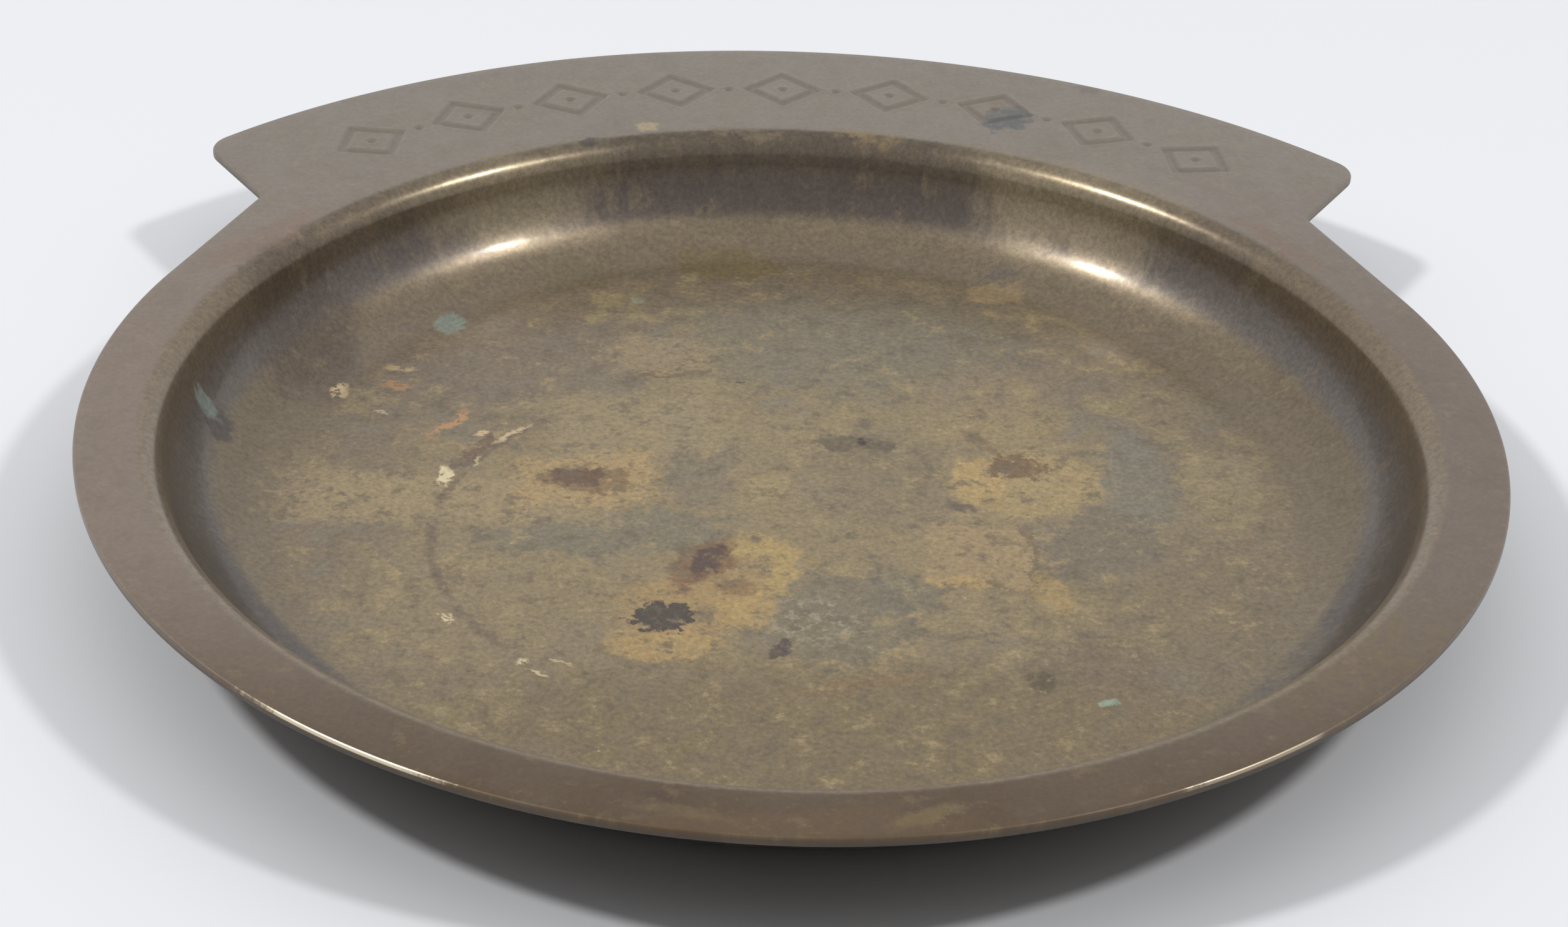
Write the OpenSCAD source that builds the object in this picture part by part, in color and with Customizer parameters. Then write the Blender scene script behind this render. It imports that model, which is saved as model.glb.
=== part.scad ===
// Round coin tray pressed from one piece of sheet brass.
// A shallow dish hangs in a flat flange, and the flange widens at the back into a tab.
// The origin is the middle of the dish's underside, where the tray rests. The tab points along +Y.

/* [Sheet] */
// Thickness of the brass sheet
sheet_t = 0.9; // [0.6:0.1:1.4]

/* [Dish] */
// Diameter of the round flange, without the tab
rim_d = 120; // [90:1:160]
// Width of the flat flange, from its outer edge to where the lip starts to bend
flange_w = 4.8; // [3:0.1:12]
// Depth of the dish, from the flange's top face to the floor's top face
depth = 10; // [9.5:0.5:25]
// Radius of the lip's bend, on its top face
lip_r = 2.4; // [1.5:0.1:3]
// Radius of the cove between the wall and the floor, on its top face
cove_r = 9; // [3:0.5:9.5]
// Lean of the dish's wall from upright, in degrees
wall_lean = 12; // [10:1:25]

/* [Tab] */
// How far the tab's outer edge stands beyond the round flange
tab_reach = 14.4; // [6:0.2:30]
// Angle between the tab's two notches, seen from the dish's middle
notch_span = 105.6; // [60:1:140]
// How far each notch stands beyond the round flange
notch_out = 2.4; // [0.5:0.1:4]
// Lean of the tab's side edges from its middle line, in degrees
side_lean = 32.5; // [10:0.5:50]
// Radius of the tab's two outer corners
corner_r = 3.3; // [1:0.1:6]

/* [Hidden] */
$fn = 180;

// Cross-section of the dish: radii from the middle, heights from the resting face
rim_r = rim_d / 2;
height = depth + sheet_t;
bend_start_r = rim_r - flange_w;
wall_tilt = 90 - wall_lean;
wall_h = depth - (lip_r + cove_r) * (1 - cos(wall_tilt));
wall_run = wall_h / tan(wall_tilt);
floor_r = bend_start_r - (lip_r + cove_r) * sin(wall_tilt) - wall_run;
lip_c = [bend_start_r, height - lip_r];
cove_c = [floor_r, sheet_t + cove_r];
overcut = 1;

// Outline of the tab's right half, seen from above
tab_r = rim_r + tab_reach;
notch_r = rim_r + notch_out;
notch_a = notch_span / 2;
notch_p = notch_r * bearing(notch_a);
side_dir = bearing(side_lean);
side_in = [-side_dir.y, side_dir.x];
corner_c = notch_p + corner_r * side_in
         + reach(notch_p + corner_r * side_in, side_dir, tab_r - corner_r) * side_dir;
corner_a = atan2(corner_c.x, corner_c.y);
flare_a = notch_a + acos(rim_r / notch_r);

// Unit vector at an angle from +Y, turning towards +X
function bearing(a) = [sin(a), cos(a)];

// Distance from a point along a direction to a circle about the middle
function reach(from, dir, r) = -from * dir + sqrt(pow(from * dir, 2) + r * r - from * from);

// Half section of everything inside one face of the sheet, filled in up to the given height.
// The cove and the lip have the radii that this face takes in the two bends.
module filled_section(cove, lip, top) {
    up_wall = [-sin(wall_tilt), cos(wall_tilt)];
    difference() {
        intersection() {
            union() {
                polygon([
                    [0, cove_c.y - cove],
                    [floor_r, cove_c.y - cove],
                    cove_c - cove * up_wall,
                    lip_c + lip * up_wall,
                    lip_c,
                    [bend_start_r, top],
                    [0, top]
                ]);
                translate(cove_c) circle(r = cove);
            }
            square([bend_start_r, top]);
        }
        translate(lip_c) circle(r = lip);
    }
}

// Half section of the dish inside the flat flange
module dish_section() {
    difference() {
        filled_section(cove_r + sheet_t, lip_r - sheet_t, height);
        filled_section(cove_r, lip_r, height + overcut);
    }
}

// Right half of the tab: its side edge runs from the notch to the rounded corner
module tab_half() {
    intersection() {
        circle(r = tab_r);
        polygon([[0, 0], [0, 2 * tab_r], 2 * tab_r * bearing(corner_a)]);
    }
    polygon([
        [0, 0],
        [0, rim_r],
        corner_c,
        corner_c - corner_r * side_in,
        notch_p,
        rim_r * bearing(flare_a)
    ]);
    translate(corner_c) circle(r = corner_r);
}

// Flange and tab as one flat blank with the dish's round opening
module flange_outline() {
    difference() {
        union() {
            circle(r = rim_r);
            tab_half();
            mirror([1, 0]) tab_half();
        }
        circle(r = bend_start_r);
    }
}

module tray() {
    color([0.50, 0.44, 0.33]) {
        rotate_extrude() dish_section();
        translate([0, 0, height - sheet_t]) linear_extrude(sheet_t) flange_outline();
    }
}

tray();
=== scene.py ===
"""Looks of a tarnished brass coin tray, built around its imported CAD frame.

The tray is one pressed sheet: a shallow dish in a flat flange that widens at the back into a tab.
All places are in metres in the frame's axes: +Z up, the tab along +Y, the resting face at z = 0.
"""

import logging
import math
from dataclasses import dataclass
from enum import Enum
from typing import Callable, Union

import bmesh
import bpy
from mathutils import Matrix, Vector, noise


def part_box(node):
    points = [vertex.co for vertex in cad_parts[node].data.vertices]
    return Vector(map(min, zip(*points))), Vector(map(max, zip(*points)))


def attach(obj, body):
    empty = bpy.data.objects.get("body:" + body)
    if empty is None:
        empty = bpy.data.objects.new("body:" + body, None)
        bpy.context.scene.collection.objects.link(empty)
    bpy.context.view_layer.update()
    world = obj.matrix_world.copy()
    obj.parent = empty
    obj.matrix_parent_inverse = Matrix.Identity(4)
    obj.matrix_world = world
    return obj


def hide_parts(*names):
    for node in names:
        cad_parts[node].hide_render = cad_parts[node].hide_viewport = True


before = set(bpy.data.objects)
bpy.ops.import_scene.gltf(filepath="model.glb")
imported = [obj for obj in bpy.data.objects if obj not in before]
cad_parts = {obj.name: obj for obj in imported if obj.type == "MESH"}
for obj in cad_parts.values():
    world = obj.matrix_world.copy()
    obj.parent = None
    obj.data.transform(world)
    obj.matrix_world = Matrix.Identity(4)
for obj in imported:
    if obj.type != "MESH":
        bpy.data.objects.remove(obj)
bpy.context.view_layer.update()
LOG = logging.getLogger("coin_tray")
MM = 0.001
# Points closer than this are one point
MERGE = 0.001 * MM
BODY = "root"
GROOVE = "groove"
EDGE = "edge"
UNDER = "under"
Triple = tuple[float, float, float]
Colour = Triple
Socket = bpy.types.NodeSocket
Value = Union[float, Socket]
Tint = Union[Triple, Socket]
Pair = tuple[float, float]


def smooth_step(low: float, high: float, value: float) -> float:
    """Eased ramp from 0 at low to 1 at high.

    Args:
        low: value where the ramp leaves 0.
        high: value where the ramp reaches 1.
        value: the value to place on the ramp.

    Returns:
        A number from 0 to 1.
    """
    share = min(1.0, max(0.0, (value - low) / (high - low)))
    return share * share * (3.0 - 2.0 * share)


def bearing_vector(bearing: float) -> Vector:
    """Unit vector at an angle from +Y, turning towards +X.

    Args:
        bearing: the angle in radians.

    Returns:
        The vector, level with the floor.
    """
    return Vector((math.sin(bearing), math.cos(bearing), 0.0))


# Shape of the sheet


@dataclass(frozen=True)
class SheetSizes:
    """Driving sizes of the pressed sheet, in metres and degrees.

    The rim's radius, the tab's reach and the height come from the CAD node's box.
    """

    rim_r: float
    tab_r: float
    height: float
    thick: float = 0.9 * MM
    flange_w: float = 4.8 * MM
    lip_r: float = 2.4 * MM
    cove_r: float = 9.0 * MM
    wall_lean: float = 12.0
    notch_half: float = 52.8
    notch_out: float = 2.4 * MM
    side_lean: float = 32.5
    corner_r: float = 3.3 * MM

    @property
    def bend_r(self) -> float:
        """Radius where the flat flange starts to bend into the lip."""
        return self.rim_r - self.flange_w

    @property
    def tilt(self) -> float:
        """Steepest slope of the wall, in radians."""
        return math.radians(90.0 - self.wall_lean)

    @property
    def wall_h(self) -> float:
        """Height of the wall's straight stretch."""
        depth = self.height - self.thick
        return depth - (self.lip_r + self.cove_r) * (1.0 - math.cos(self.tilt))

    @property
    def floor_r(self) -> float:
        """Radius of the floor's flat part."""
        bends = (self.lip_r + self.cove_r) * math.sin(self.tilt)
        return self.bend_r - bends - self.wall_h / math.tan(self.tilt)

    @classmethod
    def from_frame(cls, node: str) -> "SheetSizes":
        """Sizes that fit a CAD node's box.

        Args:
            node: the CAD node's name.

        Returns:
            The sizes, with the rim, the tab and the height from the box.
        """
        low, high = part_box(node)
        return cls(rim_r=-low[1], tab_r=high[1], height=high[2])


class TabOutline:
    """Edge of the flange and the tab, followed from the tab's middle to the front."""

    def __init__(self, sizes: SheetSizes) -> None:
        """Works out the key points of the outline's right half.

        Args:
            sizes: the sheet's sizes.
        """
        self.sizes = sizes
        notch_a = math.radians(sizes.notch_half)
        notch_r = sizes.rim_r + sizes.notch_out
        self.notch = notch_r * bearing_vector(notch_a)
        along = bearing_vector(math.radians(sizes.side_lean))
        inward = Vector((-along.y, along.x, 0.0))
        start = self.notch + sizes.corner_r * inward
        part = start.dot(along)
        far = sizes.tab_r - sizes.corner_r
        reach = math.sqrt(part * part + far * far - start.length_squared) - part
        self.corner_c = start + reach * along
        self.corner_from = math.atan2(self.corner_c.x, self.corner_c.y)
        self.corner_to = math.atan2(-inward.x, -inward.y)
        self.side_top = self.corner_c - sizes.corner_r * inward
        self.flare = notch_a + math.acos(sizes.rim_r / notch_r)

    def point(self, leg: int, share: float) -> Vector:
        """Point on one leg of the outline's right half.

        Args:
            leg: 0 the tab's arc, 1 its corner, 2 its side, 3 the flare past the notch, 4 the round rim.
            share: how far along the leg, from 0 to 1.

        Returns:
            The point, at z = 0.
        """
        sizes = self.sizes
        if leg == 0:
            return sizes.tab_r * bearing_vector(share * self.corner_from)
        if leg == 1:
            turn = self.corner_from + share * (self.corner_to - self.corner_from)
            return self.corner_c + sizes.corner_r * bearing_vector(turn)
        if leg == 2:
            return self.side_top.lerp(self.notch, share)
        flare_point = sizes.rim_r * bearing_vector(self.flare)
        if leg == 3:
            return self.notch.lerp(flare_point, share)
        return sizes.rim_r * bearing_vector(self.flare + share * (math.pi - self.flare))


@dataclass(frozen=True)
class Leg:
    """A stretch of the sheet that ends at a bearing of the lip in degrees, with its count of columns."""

    to_bearing: float
    columns: int


# Stretches from the tab's middle round the right side to the front, matched to the outline's legs
LEGS = (
    Leg(45.0, 56),
    Leg(47.6, 10),
    Leg(54.5, 14),
    Leg(68.7, 14),
    Leg(180.0, 100),
)


@dataclass(frozen=True)
class Punch:
    """One tool mark pressed into the tab: a lozenge outline or a plain dot."""

    centre: Vector
    turn: float
    half: float

    def gap(self, point: Vector) -> float:
        """How far a point is from the mark's stroke, in metres.

        Args:
            point: the point, at z = 0.

        Returns:
            The distance to the middle of the nearest stroke.
        """
        away = point - self.centre
        if self.half == 0.0:
            return away.length
        across = abs(away.x * math.cos(self.turn) - away.y * math.sin(self.turn))
        along = abs(away.x * math.sin(self.turn) + away.y * math.cos(self.turn))
        outline = abs(across + along - self.half) / math.sqrt(2.0)
        return min(outline, away.length)


@dataclass
class PressedSheet:
    """The tray's single piece of sheet: dish, lip, flange and tab.

    The arris lies between two shares of the thickness below the top face. A hair is the slack when
    places are compared. The wave starts at a share of the bend's radius and dips below its level.
    """

    sizes: SheetSizes
    name: str = "pressed_sheet"
    floor_rings: int = 12
    cove_steps: int = 14
    lip_steps: int = 10
    tab_rings: int = 23
    rim_rings: int = 5
    under_rings: int = 3
    edge_round: float = 0.26 * MM
    edge_segments: int = 4
    lozenges: int = 9
    punch_bearing: float = 39.0
    punch_centre_r: float = 64.4 * MM
    lozenge_half: float = 3.4 * MM
    stroke_half: float = 0.38 * MM
    stroke_wall: float = 0.3 * MM
    punch_depth: float = 0.17 * MM
    punch_burr: float = 0.02 * MM
    punch_margin: float = 0.4 * MM
    fine_cuts: int = 4
    flat_from: float = 1.0 * MM
    arris: Pair = (0.01, 0.30)
    hair: float = 0.01 * MM
    wave: float = 0.12 * MM
    wave_rate: float = 28.0
    wave_level: float = 0.2
    wave_from: float = 0.7

    def build(self) -> bpy.types.Object:
        """Models the sheet.

        Returns:
            The new object, with its place in its mesh.
        """
        mesh = bmesh.new()
        for share in (GROOVE, EDGE, UNDER):
            mesh.verts.layers.float.new(share)
        self.spin_dish(mesh)
        self.spread_flange(mesh)
        self.thicken(mesh)
        self.press_marks(mesh)
        self.bend_slightly(mesh)
        self.mark_underside(mesh)
        for face in mesh.faces:
            face.smooth = True
        data = bpy.data.meshes.new(self.name)
        mesh.to_mesh(data)
        mesh.free()
        piece = bpy.data.objects.new(self.name, data)
        bpy.context.scene.collection.objects.link(piece)
        return piece

    def dress(self, piece: bpy.types.Object, finish: "BrassFinish") -> None:
        """Gives the sheet its finish, and ties it to the CAD node that it stands for.

        Args:
            piece: the sheet's object.
            finish: the brass finish.
        """
        piece.data.materials.append(BrassMaterial(finish, self.sizes).make())
        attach(piece, BODY)
        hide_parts("tray")

    def spin_dish(self, mesh: bmesh.types.BMesh) -> None:
        """Draws the dish's half section on its top face and spins it about the Z axis.

        Args:
            mesh: the mesh to draw in.
        """
        sizes = self.sizes
        floor_z = sizes.thick
        last = mesh.verts.new((0.0, 0.0, floor_z))
        for ring in range(1, self.floor_rings + 1):
            vert = mesh.verts.new((0.0, sizes.floor_r * ring / self.floor_rings, floor_z))
            mesh.edges.new((last, vert))
            last = vert
        cove_c = Vector((0.0, sizes.floor_r, floor_z + sizes.cove_r))
        last = self.turn(mesh, last, cove_c, 1.0, self.cove_steps)
        wall = Vector((0.0, math.cos(sizes.tilt), math.sin(sizes.tilt)))
        top = mesh.verts.new(last.co + wall * sizes.wall_h / math.sin(sizes.tilt))
        mesh.edges.new((last, top))
        lip_c = Vector((0.0, sizes.bend_r, sizes.height - sizes.lip_r))
        self.turn(mesh, top, lip_c, -1.0, self.lip_steps)
        section = list(mesh.verts) + list(mesh.edges)
        right = [(leg.to_bearing, leg.columns) for leg in LEGS]
        pairs = zip(LEGS[-2::-1], LEGS[:0:-1])
        left = [(360.0 - before.to_bearing, leg.columns) for before, leg in pairs]
        at = 0.0
        for bearing, columns in right + left + [(360.0, LEGS[0].columns)]:
            step = bmesh.ops.spin(
                mesh, geom=section, cent=(0.0, 0.0, 0.0), axis=(0.0, 0.0, -1.0),
                angle=math.radians(bearing - at), steps=columns, use_merge=False,
            )
            section = step["geom_last"]
            at = bearing
        bmesh.ops.remove_doubles(mesh, verts=mesh.verts, dist=MERGE)
        bmesh.ops.recalc_face_normals(mesh, faces=mesh.faces)
        if sum(face.normal.z for face in mesh.faces) < 0.0:
            bmesh.ops.reverse_faces(mesh, faces=mesh.faces)

    def turn(
        self, mesh: bmesh.types.BMesh, last: bmesh.types.BMVert, centre: Vector, way: float, steps: int
    ) -> bmesh.types.BMVert:
        """Carries the half section round a bend of the sheet.

        Args:
            mesh: the mesh to draw in.
            last: the section's last vertex, where the bend starts.
            centre: the bend's centre.
            way: 1 to curve upwards, -1 to curve back to level.
            steps: how many edges the bend takes.

        Returns:
            The bend's last vertex.
        """
        done = bmesh.ops.spin(
            mesh, geom=[last], cent=centre, axis=(way, 0.0, 0.0),
            angle=self.sizes.tilt, steps=steps, use_merge=False,
        )
        bmesh.ops.remove_doubles(mesh, verts=mesh.verts, dist=MERGE)
        return next(item for item in done["geom_last"] if isinstance(item, bmesh.types.BMVert))

    def spread_flange(self, mesh: bmesh.types.BMesh) -> None:
        """Extrudes the lip's outer loop to the outline of the flange and the tab.

        Args:
            mesh: the mesh that holds the dish.
        """
        outline = TabOutline(self.sizes)
        rim = [edge for edge in mesh.edges if edge.is_boundary]
        grown = bmesh.ops.extrude_edge_only(mesh, edges=rim)["geom"]
        for vert in (item for item in grown if isinstance(item, bmesh.types.BMVert)):
            bearing = math.degrees(math.atan2(abs(vert.co.x), vert.co.y))
            leg, low = 0, 0.0
            while bearing > LEGS[leg].to_bearing + 0.001 and leg < len(LEGS) - 1:
                low = LEGS[leg].to_bearing
                leg += 1
            place = outline.point(leg, (bearing - low) / (LEGS[leg].to_bearing - low))
            vert.co.x = math.copysign(place.x, vert.co.x)
            vert.co.y = place.y
        mesh.normal_update()

    def thicken(self, mesh: bmesh.types.BMesh) -> None:
        """Gives the sheet its thickness, rounds its outer edge and divides the flat flange into rings.

        The rounded top arris is noted for the finish.

        Args:
            mesh: the mesh that holds the top face.
        """
        sizes = self.sizes
        bmesh.ops.solidify(mesh, geom=list(mesh.faces), thickness=sizes.thick)
        bmesh.ops.recalc_face_normals(mesh, faces=mesh.faces)
        bmesh.ops.bevel(
            mesh, geom=[edge for edge in mesh.edges if self.is_arris(edge)], offset=self.edge_round,
            segments=self.edge_segments, profile=0.5, affect="EDGES", material=-1,
        )
        edge_share = mesh.verts.layers.float[EDGE]
        for vert in mesh.verts:
            depth = (sizes.height - vert.co.z) / sizes.thick
            vert[edge_share] = float(self.is_outside(vert) and self.arris[0] < depth < self.arris[1])
        top, rim, under = [], [], []
        for edge in mesh.edges:
            if self.is_flange_spoke(edge):
                if edge.verts[0].co.z < sizes.height - 0.5 * sizes.thick:
                    under.append(edge)
                elif max(vert.co.to_2d().length for vert in edge.verts) > sizes.rim_r + self.hair:
                    top.append(edge)
                else:
                    rim.append(edge)
        for spokes, rings in ((top, self.tab_rings), (rim, self.rim_rings), (under, self.under_rings)):
            bmesh.ops.subdivide_edges(mesh, edges=spokes, cuts=rings - 1, use_grid_fill=True)

    def is_outside(self, vert: bmesh.types.BMVert) -> bool:
        """Whether a vertex lies on the flat flange or the tab, beyond the lip's bend."""
        return vert.co.to_2d().length > self.sizes.bend_r + self.flat_from

    def is_flange_spoke(self, edge: bmesh.types.BMEdge) -> bool:
        """Whether an edge runs across the flat flange from the lip to the outline.

        Args:
            edge: the edge.

        Returns:
            True where it starts at the bend and ends beyond it.
        """
        inner, outer = sorted(edge.verts, key=lambda vert: vert.co.to_2d().length)
        at_bend = abs(inner.co.to_2d().length - self.sizes.bend_r) < 5.0 * self.hair
        return at_bend and self.is_outside(outer)

    def is_arris(self, edge: bmesh.types.BMEdge) -> bool:
        """Whether an edge runs along the outline, on the top or the under face."""
        level = abs(edge.verts[0].co.z - edge.verts[1].co.z) < self.hair
        return level and all(self.is_outside(vert) for vert in edge.verts)

    def punches(self) -> list[Punch]:
        """Tool marks along the tab: a row of lozenges with a dot between each two.

        Returns:
            The marks, from left to right.
        """
        marks = []
        count = 2 * self.lozenges - 1
        for index in range(count):
            bearing = math.radians(self.punch_bearing * (2.0 * index / (count - 1) - 1.0))
            half = 0.0 if index % 2 else self.lozenge_half
            marks.append(Punch(self.punch_centre_r * bearing_vector(bearing), bearing, half))
        return marks

    def press_marks(self, mesh: bmesh.types.BMesh) -> None:
        """Refines the tab's top face at each tool mark and sinks the mark into it.

        Args:
            mesh: the mesh of the whole sheet.
        """
        groove = mesh.verts.layers.float[GROOVE]
        level = self.sizes.height - 5.0 * self.hair
        reach = self.stroke_half + 2.0 * self.stroke_wall
        marks = self.punches()
        near: dict[bmesh.types.BMEdge, None] = {}
        for face in mesh.faces:
            middle = face.calc_center_median()
            if middle.z < level or middle.y < 0.0 or middle.length < self.sizes.bend_r + 0.5 * self.flat_from:
                continue
            here = Vector((middle.x, middle.y, 0.0))
            if any((here - mark.centre).length < mark.half + reach + self.punch_margin for mark in marks):
                near.update(dict.fromkeys(face.edges))
        bmesh.ops.subdivide_edges(mesh, edges=list(near), cuts=self.fine_cuts, use_grid_fill=True)
        for vert in mesh.verts:
            if vert.co.z < level or vert.co.y < 0.0:
                continue
            here = Vector((vert.co.x, vert.co.y, 0.0))
            gap = min(mark.gap(here) for mark in marks)
            wall = 0.5 * self.stroke_wall
            sunk = 1.0 - smooth_step(self.stroke_half - wall, self.stroke_half + wall, gap)
            burr = 1.0 - smooth_step(0.0, self.stroke_wall, abs(gap - self.stroke_half - self.stroke_wall))
            vert.co.z += self.punch_burr * burr - self.punch_depth * sunk
            vert[groove] = sunk

    def bend_slightly(self, mesh: bmesh.types.BMesh) -> None:
        """Gives the flange and the wall the slight waviness of hand-worked sheet.

        Args:
            mesh: the mesh of the whole sheet.
        """
        for vert in mesh.verts:
            away = vert.co.to_2d().length
            reach = smooth_step(self.wave_from * self.sizes.bend_r, self.sizes.rim_r, away)
            sway = noise.noise(Vector((vert.co.x, vert.co.y, 0.0)) * self.wave_rate)
            vert.co.z += self.wave * reach * min(0.0, sway - self.wave_level)

    def mark_underside(self, mesh: bmesh.types.BMesh) -> None:
        """Notes for the finish which side of the sheet each vertex lies on.

        Args:
            mesh: the mesh of the whole sheet.
        """
        under = mesh.verts.layers.float[UNDER]
        mesh.normal_update()
        for vert in mesh.verts:
            vert[under] = 1.0 - smooth_step(-0.1, 0.1, vert.normal.z)


# Node helpers


@dataclass(frozen=True)
class Grain:
    """Size in millimetres, detail and place of one noise pattern."""

    size: float
    detail: float = 3.0
    rough: float = 0.55
    distortion: float = 0.0
    seed: float = 0.0


@dataclass(frozen=True)
class Ramp:
    """Smooth step between two values of a pattern or a place, and what it gives at each."""

    low: float
    high: float
    to_low: float = 0.0
    to_high: float = 1.0


class NodeBench:
    """Adds nodes to one tree and hands back their sockets."""

    def __init__(self, tree: bpy.types.NodeTree) -> None:
        """Keeps the tree that nodes are added to."""
        self.tree = tree

    def add(self, kind: str, **settings: object) -> bpy.types.Node:
        """Adds one node.

        Args:
            kind: the node's type name.
            settings: properties to set on the node.

        Returns:
            The new node.
        """
        node = self.tree.nodes.new(kind)
        for key, value in settings.items():
            setattr(node, key, value)
        return node

    def feed(self, socket: Socket, value: object) -> None:
        """Links a socket, or sets its value where a plain value is given.

        Args:
            socket: the input socket.
            value: an output socket, a number or a colour.
        """
        if isinstance(value, bpy.types.NodeSocket):
            self.tree.links.new(value, socket)
        elif socket.type == "RGBA":
            socket.default_value = (*value, 1.0)
        else:
            socket.default_value = value

    def math(self, operation: str, first: Value, second: Value = 0.0, third: Value = 0.0) -> Socket:
        """Adds a Math node.

        Args:
            operation: the node's operation.
            first: the first input.
            second: the second input.
            third: the third input, for operations that have one.

        Returns:
            The result.
        """
        node = self.add("ShaderNodeMath", operation=operation)
        for socket, value in zip(node.inputs, (first, second, third)):
            self.feed(socket, value)
        return node.outputs[0]

    def vector(self, operation: str, first: Tint, second: Tint = (0.0, 0.0, 0.0)) -> Socket:
        """Adds a Vector Math node whose result is a vector.

        Args:
            operation: the node's operation.
            first: the first input.
            second: the second input.

        Returns:
            The resulting vector.
        """
        node = self.add("ShaderNodeVectorMath", operation=operation)
        self.feed(node.inputs[0], first)
        self.feed(node.inputs[1], second)
        return node.outputs[0]

    def local(self, vector: Socket, at: Pair, size: Pair, turn: float) -> Socket:
        """Moves, turns and scales level coordinates so that a mark is a unit shape about zero.

        Args:
            vector: the coordinates.
            at: the mark's middle.
            size: the mark's half sizes along its own axes.
            turn: the mark's turn about Z, in degrees.

        Returns:
            The mark's own coordinates.
        """
        if turn == 0.0:
            node = self.add("ShaderNodeVectorMath", operation="MULTIPLY_ADD")
            self.feed(node.inputs[0], vector)
            node.inputs[1].default_value = (1.0 / size[0], 1.0 / size[1], 0.0)
            node.inputs[2].default_value = (-at[0] / size[0], -at[1] / size[1], 0.0)
            return node.outputs[0]
        cos, sin = math.cos(math.radians(turn)), math.sin(math.radians(turn))
        moved = self.vector("SUBTRACT", vector, (*at, 0.0))
        across = self.dot(moved, (cos / size[0], sin / size[0], 0.0))
        along = self.dot(moved, (-sin / size[1], cos / size[1], 0.0))
        both = self.add("ShaderNodeCombineXYZ")
        self.feed(both.inputs[0], across)
        self.feed(both.inputs[1], along)
        return both.outputs[0]

    def dot(self, first: Socket, second: Triple) -> Socket:
        """Adds a Vector Math node that takes the dot product with a fixed vector.

        Args:
            first: the vector.
            second: the fixed vector.

        Returns:
            The product.
        """
        node = self.add("ShaderNodeVectorMath", operation="DOT_PRODUCT")
        self.feed(node.inputs[0], first)
        node.inputs[1].default_value = second
        return node.outputs["Value"]

    def split(self, vector: Socket) -> bpy.types.bpy_prop_collection:
        """Adds a Separate XYZ node.

        Args:
            vector: the vector.

        Returns:
            Its parts along X, Y and Z.
        """
        node = self.add("ShaderNodeSeparateXYZ")
        self.feed(node.inputs[0], vector)
        return node.outputs

    def length(self, vector: Socket) -> Socket:
        """Adds a Vector Math node that measures a vector.

        Args:
            vector: the vector.

        Returns:
            Its length.
        """
        node = self.add("ShaderNodeVectorMath", operation="LENGTH")
        self.feed(node.inputs[0], vector)
        return node.outputs["Value"]

    def ramp(
        self, value: Value, low: float, high: float, to_low: float = 0.0, to_high: float = 1.0
    ) -> Socket:
        """Maps a value smoothly from one range to another.

        Args:
            value: the input.
            low: the input that gives to_low.
            high: the input that gives to_high.
            to_low: the result at low.
            to_high: the result at high.

        Returns:
            The mapped value.
        """
        node = self.add("ShaderNodeMapRange", interpolation_type="SMOOTHSTEP")
        for socket, item in zip(node.inputs, (value, low, high, to_low, to_high)):
            self.feed(socket, item)
        return node.outputs[0]

    def follow(self, value: Value, ramp: Ramp, origin: float = 0.0) -> Socket:
        """Maps a value by a ramp that counts from an origin."""
        return self.ramp(value, origin + ramp.low, origin + ramp.high, ramp.to_low, ramp.to_high)

    def blend(self, share: Value, first: Tint, second: Tint, mode: str = "MIX") -> Socket:
        """Mixes two colours.

        Args:
            share: how much of the second colour.
            first: the first colour.
            second: the second colour.
            mode: the blend type.

        Returns:
            The mixed colour.
        """
        node = self.add("ShaderNodeMix", data_type="RGBA", blend_type=mode)
        for socket, item in zip((node.inputs[0], node.inputs[6], node.inputs[7]), (share, first, second)):
            self.feed(socket, item)
        return node.outputs[2]

    def pick(self, share: Value, first: Value, second: Value) -> Socket:
        """Mixes two values.

        Args:
            share: how much of the second value.
            first: the first value.
            second: the second value.

        Returns:
            The mixed value.
        """
        node = self.add("ShaderNodeMix", data_type="FLOAT")
        for socket, item in zip((node.inputs[0], node.inputs[2], node.inputs[3]), (share, first, second)):
            self.feed(socket, item)
        return node.outputs[0]

    def noise(self, vector: Socket, grain: Grain) -> bpy.types.Node:
        """Adds a Noise Texture.

        Args:
            vector: where to read it, in millimetres.
            grain: its size and detail.

        Returns:
            The node, whose factor is about 0.5 on average.
        """
        moved = self.vector("ADD", vector, (grain.seed, 2.0 * grain.seed, 0.0))
        node = self.add("ShaderNodeTexNoise")
        self.feed(node.inputs["Vector"], moved)
        node.inputs["Scale"].default_value = 1.0 / grain.size
        node.inputs["Detail"].default_value = grain.detail
        node.inputs["Roughness"].default_value = grain.rough
        node.inputs["Distortion"].default_value = grain.distortion
        return node

    def warp(self, vector: Socket, grain: Grain, reach: float) -> Socket:
        """Makes coordinates wavy.

        Args:
            vector: the coordinates.
            grain: the waviness.
            reach: how far it moves a point, in millimetres.

        Returns:
            The wavy coordinates.
        """
        sway = self.vector("SUBTRACT", self.noise(vector, grain).outputs["Color"], (0.5, 0.5, 0.5))
        return self.vector("ADD", vector, self.vector("MULTIPLY", sway, (2.0 * reach, 2.0 * reach, 0.0)))

    def share(self, name: str) -> Socket:
        """Value that the mesh stores under a name."""
        return self.add("ShaderNodeAttribute", attribute_name=name).outputs["Fac"]


# Tarnish of the brass


@dataclass(frozen=True)
class Wavy:
    """Wavy coordinates in millimetres, and a noise about zero that frays the outlines drawn on them."""

    place: Socket
    ragged: Socket


class Outline(Enum):
    """Outline of a stain."""

    ROUND = "round"
    SQUARE = "square"


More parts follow.
